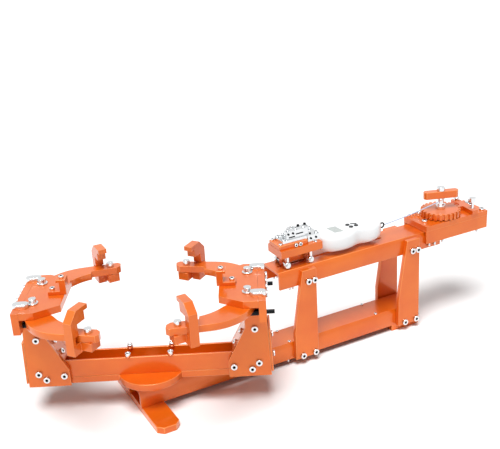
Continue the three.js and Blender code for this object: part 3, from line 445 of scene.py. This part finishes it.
# Winch head: an orange box round the rail's end with a thick plate on it. Screws hold the
# plate down and more screws come up through the box's lower edges.
edged("head_box", 0.0006, plate_finish)
head_top = 0.1683
bright_start = 0.0002
edged("head_plate", 0.0007, plate_finish + [chrome],
      bright=lambda c: c.z > head_top + bright_start)
screws("head_plate_screws", "stand",
       [((x, y, head_top), facing_up)
        for x, y in ((0.4815, -0.0085), (0.588, -0.022), (0.587, 0.004))],
       radius=0.0046, height=0.003)
screws("head_plate_studs", "stand",
       [((x, y, head_top), facing_up)
        for x, y in ((0.4722, 0.0215), (0.4775, 0.0205), (0.4845, 0.0215), (0.4895, 0.0205),
                     (0.4880, 0.0150))],
       radius=0.0019, height=0.0066)
screws("head_box_screws", "stand",
       [((x, y, 0.1385), facing_down)
        for x in (0.476, 0.487, 0.503, 0.574) for y in (-0.0272, 0.0272)],
       radius=0.0019, height=0.005)

# Turntable plate: an orange bar with a round disc at its middle, cut from plate. It turns on
# the pivot's flange.
edged("turntable_plate", 0.0007, table_finish)

# Trough: the turntable's open channel, drawn like the beams and screwed to the plate. Four cap
# screws stand beside its walls, near the pivot.
edged("turntable_beam", 0.0005, table_finish)
cosine, sine = math.cos(table_turn), math.sin(table_turn)


def on_table(u, v, z=0.0):
    """A place given along and across the turntable, in the machine's frame."""
    return (u * cosine - v * sine, u * sine + v * cosine, z)


trough_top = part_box("turntable_beam")[1].z
screws("trough_screws", "turntable",
       [(on_table(u, v, trough_top), facing_up)
        for u in (-0.029, 0.031) for v in (-0.0128, 0.0128)],
       radius=0.0041, height=0.0062)

# Towers: at each end two side plates, a gusset up the sloping inner edge, a closing plate on
# the outer edge, an end plate and a top plate, all orange, held by cap screws.
for end in ("left", "right"):
    for node in (f"side_plate_{end}_near", f"side_plate_{end}_far", f"gusset_{end}",
                 f"closing_plate_{end}", f"end_plate_{end}", f"top_plate_{end}"):
        edged(node, 0.0007, plate_finish)
side_plate_face = 0.0222
end_plate_face, end_plate_row = 0.1692, 0.177
tower_seats = []
for u_way in (-1, 1):
    for v_way in (-1, 1):
        for u, z in ((0.1515, 0.121), (0.155, 0.067), (0.145, 0.0575), (0.1195, 0.0625)):
            tower_seats.append((on_table(u_way * u, v_way * side_plate_face, z),
                                on_table(0, v_way, 0)))
    for v in (-0.030, -0.010, 0.010, 0.030):
        tower_seats.append((on_table(u_way * end_plate_face, v, end_plate_row),
                            on_table(u_way, 0, 0)))
screws("tower_screws", "turntable", tower_seats, radius=0.0048, height=0.0034)

# The gusset leans outwards as it goes up, and the closing plate leans inwards a little
gusset_foot_u, gusset_foot_z, gusset_run, gusset_rise = 0.112, 0.071, 0.026, 0.051
gusset_screw_v = -0.006
closing_foot_u, closing_foot_z, closing_run, closing_rise = 0.1755, 0.0455, -0.0035, 0.1045
tower_end_seats = []
for u_way in (-1, 1):
    way = Vector((-u_way * gusset_rise, 0, gusset_run)).normalized()
    for z in (0.110, 0.0926):
        u = gusset_foot_u + gusset_run * (z - gusset_foot_z) / gusset_rise
        tower_end_seats.append((on_table(u_way * u, gusset_screw_v, z),
                                on_table(way.x, 0, way.z)))
for u_way in (-1, 1):
    for z in (0.068, 0.1):
        u = closing_foot_u + closing_run * (z - closing_foot_z) / closing_rise
        tower_end_seats.append((on_table(u_way * u, 0, z), on_table(u_way, 0, 0)))
screws("tower_end_screws", "turntable", tower_end_seats, radius=0.0042, height=0.003)


# Clamp bars: bright plated bars that lie on the top plates from the arm pivots to the ends and
# lock the arms. Each is milled flat, with round ends and broken edges.
def prism(form, outline, low, high):
    """Adds a solid with this outline and two levels to a mesh, and gives its corners back."""
    rings = [[form.verts.new((x, y, z)) for x, y in outline] for z in (low, high)]
    count = len(outline)
    for k in range(count):
        form.faces.new((rings[0][k], rings[0][(k + 1) % count],
                        rings[1][(k + 1) % count], rings[1][k]))
    form.faces.new(rings[0])
    form.faces.new(rings[1])
    return rings


def round_bar(middle_u, middle_v, length, width):
    """The outline of a bar with round ends, along the turntable."""
    outline = []
    end_steps = 8
    run = length / 2 - width / 2
    for way in (1, -1):
        for k in range(end_steps + 1):
            angle = math.pi * (k / end_steps - 0.5) + (0 if way > 0 else math.pi)
            outline.append(on_table(middle_u + way * run + width / 2 * math.cos(angle),
                                    middle_v + width / 2 * math.sin(angle))[:2])
    return outline


top_plate_z = 0.182
bar_u, bar_v = 0.159, 0.0415
bar_length, bar_width, bar_height, bar_edge = 0.022, 0.0125, 0.0065, 0.0007
largest_smooth_face = 6e-5
for end, u_way in (("left", -1), ("right", 1)):
    form = bmesh.new()
    for v_way in (-1, 1):
        prism(form, round_bar(u_way * bar_u, v_way * bar_v, bar_length, bar_width),
              top_plate_z, top_plate_z + bar_height)
    bmesh.ops.recalc_face_normals(form, faces=form.faces)
    rims = [e for e in form.edges if e.calc_face_angle(0) > sharp_angle]
    bmesh.ops.bevel(form, geom=rims, offset=bar_edge, segments=2, profile=0.6, affect="EDGES",
                    clamp_overlap=True)
    for face in form.faces:
        face.smooth = face.calc_area() < largest_smooth_face
    bars = as_piece(form, f"clamp_bars_{end}", [chrome])
    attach(bars, "turntable")

# Arms: four bent orange flat bars under the top plates. Each swings on a bright pin that
# stands up through the plate with a washer and a head, and carries a jaw on its end.
arm_top = 0.1717
for end in ("left", "right"):
    for side in ("near", "far"):
        edged(f"arm_{end}_{side}", 0.0007, plate_finish + [chrome],
              bright=lambda c: c.z > arm_top + bright_start)

# Jaws: four orange hook blocks, milled from bar, that take the rim of the work under their
# lips. A bright cap screw through the arm's end holds each one.
arm_pivot_u, arm_pivot_v = 0.145, 0.031
jaw_bolt_inwards, jaw_bolt_outwards = 0.088, 0.067
arm_lean = math.radians(2.3)
bolt_low, bolt_radius = 0.1716, 0.0054
for end, u_way in (("left", -1), ("right", 1)):
    turn = arm_lean * u_way
    inwards = jaw_bolt_inwards * math.cos(turn) + jaw_bolt_outwards * math.sin(turn)
    outwards = jaw_bolt_outwards * math.cos(turn) - jaw_bolt_inwards * math.sin(turn)
    for side, v_way in (("near", -1), ("far", 1)):
        bolt_x, bolt_y, _ = on_table(u_way * (arm_pivot_u - inwards),
                                     v_way * (arm_pivot_v + outwards))
        edged(f"jaw_{end}_{side}", 0.0008, plate_finish + [chrome],
              bright=lambda c: (c.z > bolt_low
                                and math.hypot(c.x - bolt_x, c.y - bolt_y) < bolt_radius))

# Set screws: four black steel screws, along the turntable, through the end plates. They bear
# on the arms and set how far each one swings in.
for end in ("left", "right"):
    for side in ("near", "far"):
        edged(f"set_screw_{end}_{side}", 0.0004, [black_oxide_and_shade, black_oxide_and_shade])

# Centre posts: orange blocks on the top plates that hold the rim from inside. Each slides in
# its slot and is locked by a cap screw, and a second one stands on its top.
for end, u_way in (("left", -1), ("right", 1)):
    edged(f"centre_post_{end}", 0.0006, plate_finish)
    screws(f"centre_post_screw_{end}", f"post_{end}",
           [(on_table(u_way * u, 0, z), facing_up) for u, z in ((0.124, 0.1872), (0.1095, 0.2042))],
           radius=0.0036, height=0.003)

# Carriage: an orange slab with a narrow web that carries four small wheels on the rail. Its
# top plate is a second slab, screwed down, and a keeper inside the rail holds it on.
axle_top, web_side = 0.1762, 0.0044
edged("carriage_block", 0.0007, plate_finish + [chrome],
      bright=lambda c: c.z < axle_top and abs(c.y) > web_side)
edged("carriage_plate", 0.0008, plate_finish)
for end in ("left", "right"):
    for side in ("near", "far"):
        edged(f"wheel_{end}_{side}", 0.0003, bright_finish)
slab_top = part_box("carriage_block")[1].z
plate_low, plate_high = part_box("carriage_plate")
screws("carriage_screws", "carriage",
       [((x, plate_low.y, slab_top + 0.0033), facing_near) for x in (0.2372, 0.2448)],
       radius=0.0030, height=0.0024)
screws("carriage_slab_screws", "carriage",
       [((0.2705, y, slab_top), facing_up) for y in (-0.0175, 0.0175)],
       radius=0.0022, height=0.0022)
screws("carriage_plate_screws", "carriage",
       [((0.2136, y, plate_high.z), facing_up) for y in (-0.0120, 0.0120)],
       radius=0.0026, height=0.0024)

# String gripper: a bright clamp on the carriage. Its fixed jaw is a milled block with a
# grooved face, and an eccentric lever on a pin closes on it.
edged("gripper_base", 0.0005, bright_finish)
edged("gripper_lever", 0.0006, bright_finish)
grip_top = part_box("gripper_base")[1].z
lever_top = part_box("gripper_lever")[1].z
grip_floor = plate_high.z + 0.005
screws("gripper_screws", "carriage",
       [((x, y, grip_floor), facing_up) for x in (0.2205, 0.2765) for y in (-0.0095, 0.0095)]
       + [((x, -0.006, grip_top), facing_up) for x in (0.2300, 0.2435, 0.2570)],
       radius=0.0027, height=0.0022)
screws("gripper_pins", "carriage",
       [((x, -0.0105, grip_top - 0.004), facing_near) for x in (0.2285, 0.2365)]
       + [((x, -0.0150, slab_top + 0.0070), facing_near) for x in (0.2640, 0.2730)]
       + [((0.2665, -0.0085, grip_floor), facing_up)],
       radius=0.0016, height=0.0012, metal=black_oxide_and_shade)
screws("gripper_lever_pins", "lever",
       [((x, 0.009, lever_top), facing_up) for x in (0.2565, 0.2680)],
       radius=0.0021, height=0.0026, metal=black_oxide_and_shade)
screws("gripper_lever_nut", "lever", [((0.2450, 0.0010, lever_top), facing_up)],
       radius=0.0024, height=0.0016)

# The gripper's spring is wound from wire and lies along its base
turn_steps = 12
spring_turns = 7
spring_length = 0.0100
spring_radius = 0.0024
spring_start = Vector((0.2215, 0.0030, grip_floor + 0.0036))
spring_along = Vector((1, 0, 0))
spring_side = spring_along.orthogonal().normalized()
spring_other = spring_along.cross(spring_side)
spring_path = []
for step in range(spring_turns * turn_steps + 1):
    angle = math.tau * step / turn_steps
    spring_path.append(spring_start
                       + spring_along * spring_length * step / (spring_turns * turn_steps)
                       + spring_radius * (math.cos(angle) * spring_side
                                          + math.sin(angle) * spring_other))
gripper_spring = swept(spring_path, 0.0005, 6, "gripper_spring", chrome)
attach(gripper_spring, "carriage")

# Two thin black boxes on its near face stand for slots: their black is painted shade
slot_back, slot_front, slot_height, slot_edge = -0.0103, -0.0111, 0.0016, 0.0002
form = bmesh.new()
for left, right, low in ((0.2415, 0.2535, -0.0070), (0.2295, 0.2395, -0.0102)):
    slot_low = Vector((left, slot_front, grip_top + low))
    slot_high = Vector((right, slot_back, grip_top + low + slot_height))
    made = bmesh.ops.create_cube(form, size=1.0, matrix=Matrix.LocRotScale(
        (slot_low + slot_high) / 2, None, slot_high - slot_low))
    rims = {e for v in made["verts"] for e in v.link_edges}
    bmesh.ops.bevel(form, geom=list(rims), offset=slot_edge, segments=2, profile=0.6,
                    affect="EDGES", material=0)
gripper_slots = as_piece(form, "gripper_slots", [black_oxide_and_shade])
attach(gripper_slots, "carriage")

# Hanging scale: a white ABS shell in two lobes, moulded in halves that meet at mid height.
# Its top has a grey display window and three buttons, and a dark ring takes the cord.

# Gloss ABS: a clean mould gives a clear sheen, and a faint 1 mm unevenness softens it
abs_white = new_material("white_gloss_abs")
abs_place = add(abs_white, "ShaderNodeTexCoord")
abs_cloud = add(abs_white, "ShaderNodeTexNoise",
                {"Vector": abs_place.outputs["Object"], "Scale": 900.0, "Detail": 2.0})
abs_bump = add(abs_white, "ShaderNodeBump",
               {"Height": abs_cloud.outputs["Fac"], "Strength": 0.04, "Distance": 0.0001})
finish_surface(abs_white, add(abs_white, "ShaderNodeBsdfPrincipled",
                              {"Base Color": hex_colour("#E9EBEC"), "Roughness": 0.28,
                               "Normal": abs_bump.outputs["Normal"]}))
scale_shell = edged("scale_body", 0.0004, [abs_white, abs_white])
flat_top_tilt = 0.985
for polygon in scale_shell.data.polygons:
    polygon.use_smooth = abs(polygon.normal.z) < flat_top_tilt


def lid_mark(name, corners, low, high, material):
    """A thin closed plate with these corners, let into the shell's top."""
    form = bmesh.new()
    rings = prism(form, corners, low, high)
    bmesh.ops.recalc_face_normals(form, faces=form.faces)
    rims = [e for e in form.edges if all(v in rings[1] for v in e.verts)]
    bmesh.ops.bevel(form, geom=rims, offset=(high - low) * 0.4, segments=2, profile=0.5,
                    affect="EDGES", clamp_overlap=True)
    plate = as_piece(form, name, [material])
    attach(plate, "carriage")


# Display: grey-green liquid crystal glass behind a clear window, with faint cells of 2.3 mm
glass_grey = new_material("grey_display_glass")
glass_place = add(glass_grey, "ShaderNodeTexCoord")
glass_cells = add(glass_grey, "ShaderNodeTexBrick",
                  {"Vector": glass_place.outputs["Object"], "Scale": 220.0,
                   "Color1": hex_colour("#AEB4B2"), "Color2": hex_colour("#B8BEBB"),
                   "Mortar": hex_colour("#9BA19F"), "Mortar Size": 0.01})
finish_surface(glass_grey, add(glass_grey, "ShaderNodeBsdfPrincipled",
                               {"Base Color": glass_cells.outputs["Color"], "Roughness": 0.12}))

# Satin ABS: a spark-eroded mould leaves a fine 0.7 mm grain that breaks up the sheen
black_abs = new_material("black_satin_abs")
black_place = add(black_abs, "ShaderNodeTexCoord")
black_cloud = add(black_abs, "ShaderNodeTexNoise",
                  {"Vector": black_place.outputs["Object"], "Scale": 1500.0, "Detail": 2.0})
black_rough = add(black_abs, "ShaderNodeMapRange",
                  {"Value": black_cloud.outputs["Fac"], "To Min": 0.35, "To Max": 0.55})
finish_surface(black_abs, add(black_abs, "ShaderNodeBsdfPrincipled",
                              {"Base Color": hex_colour("#151517"),
                               "Roughness": black_rough.outputs["Result"]}))
lid_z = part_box("scale_body")[1].z
mark_under = lid_z - 0.0006
display_corners = [(0.3120, -0.0060), (0.3268, -0.0080), (0.3262, 0.0150), (0.3110, 0.0165)]
mode_bar_corners = [(0.3497, 0.0088), (0.3588, 0.0042), (0.3602, 0.0068), (0.3511, 0.0114)]
lid_mark("scale_display", display_corners, mark_under, lid_z + 0.0004, glass_grey)
lid_mark("scale_mode_bar", mode_bar_corners, mark_under, lid_z + 0.0006, black_abs)
for number in (1, 2, 3):
    edged(f"scale_button_{number}", 0.0004, [black_abs, black_abs])
edged("scale_hook", 0, [black_oxide_and_shade])

# Winch: an orange ratchet gear with square teeth, a bright spindle with the cord's drum, and
# an orange crank bar across its top under a nut.
edged("ratchet_gear", 0.0004, plate_finish)
edged("spindle", 0.0004, bright_finish)
edged("crank_handle", 0.0009, plate_finish)

# Pawl: an orange bar on a bright bolt, with a tooth for the gear and a bright thumb knob. A
# spring between it and a stud on the head plate presses it in.
pawl_top = 0.1753
edged("pawl", 0.0006, plate_finish + [chrome], bright=lambda c: c.z > pawl_top + bright_start)
edged("pawl_bolt", 0.0004, bright_finish)
edged("pawl_spring", 0, [chrome])

bpy.data.objects.remove(screw_pattern)

# Floor and light: a plain white sweep, matt so that it takes only the machine's soft shadow,
# under plain soft light from above and in front. What the camera and the metal see is white.
floor_paint = new_material("white_floor")
finish_surface(floor_paint, add(floor_paint, "ShaderNodeBsdfPrincipled",
                                {"Base Color": hex_colour("#F3F3F3"), "Roughness": 0.9}))
form = bmesh.new()
floor_reach = 6.0
floor_z = -0.0002
form.faces.new([form.verts.new((x * floor_reach, y * floor_reach, floor_z))
                for x, y in ((-1, -1), (1, -1), (1, 1), (-1, 1))])
floor = as_piece(form, "floor", [floor_paint])

world = bpy.data.worlds.new("studio")
bpy.context.scene.world = world
world.use_nodes = True
world.node_tree.nodes.clear()
path = add(world, "ShaderNodeLightPath")
seen = add(world, "ShaderNodeMath", {0: path.outputs["Is Camera Ray"],
                                     1: path.outputs["Is Glossy Ray"]}, operation="MAXIMUM")
seen_too = add(world, "ShaderNodeMath", {0: seen.outputs["Value"],
                                         1: path.outputs["Is Transmission Ray"]},
               operation="MAXIMUM")
strength = add(world, "ShaderNodeMapRange",
               {"Value": seen_too.outputs["Value"], "To Min": 0.22, "To Max": 1.0})
back = add(world, "ShaderNodeBackground", {"Color": (1, 1, 1, 1),
                                           "Strength": strength.outputs["Result"]})
add(world, "ShaderNodeOutputWorld", {"Surface": back.outputs["Background"]})

sun_place = Vector((0, 0, 2))
sun_way = Vector((0.24, 0.27, -1.0))
sun = bpy.data.objects.new("soft_sun", bpy.data.lights.new("soft_sun", "SUN"))
sun.data.energy = 4.0
sun.data.angle = math.radians(34)
bpy.context.scene.collection.objects.link(sun)
sun.matrix_world = Matrix.LocRotScale(sun_place, sun_way.to_track_quat("-Z", "Y"), None)

bpy.context.scene.view_settings.view_transform = "Standard"
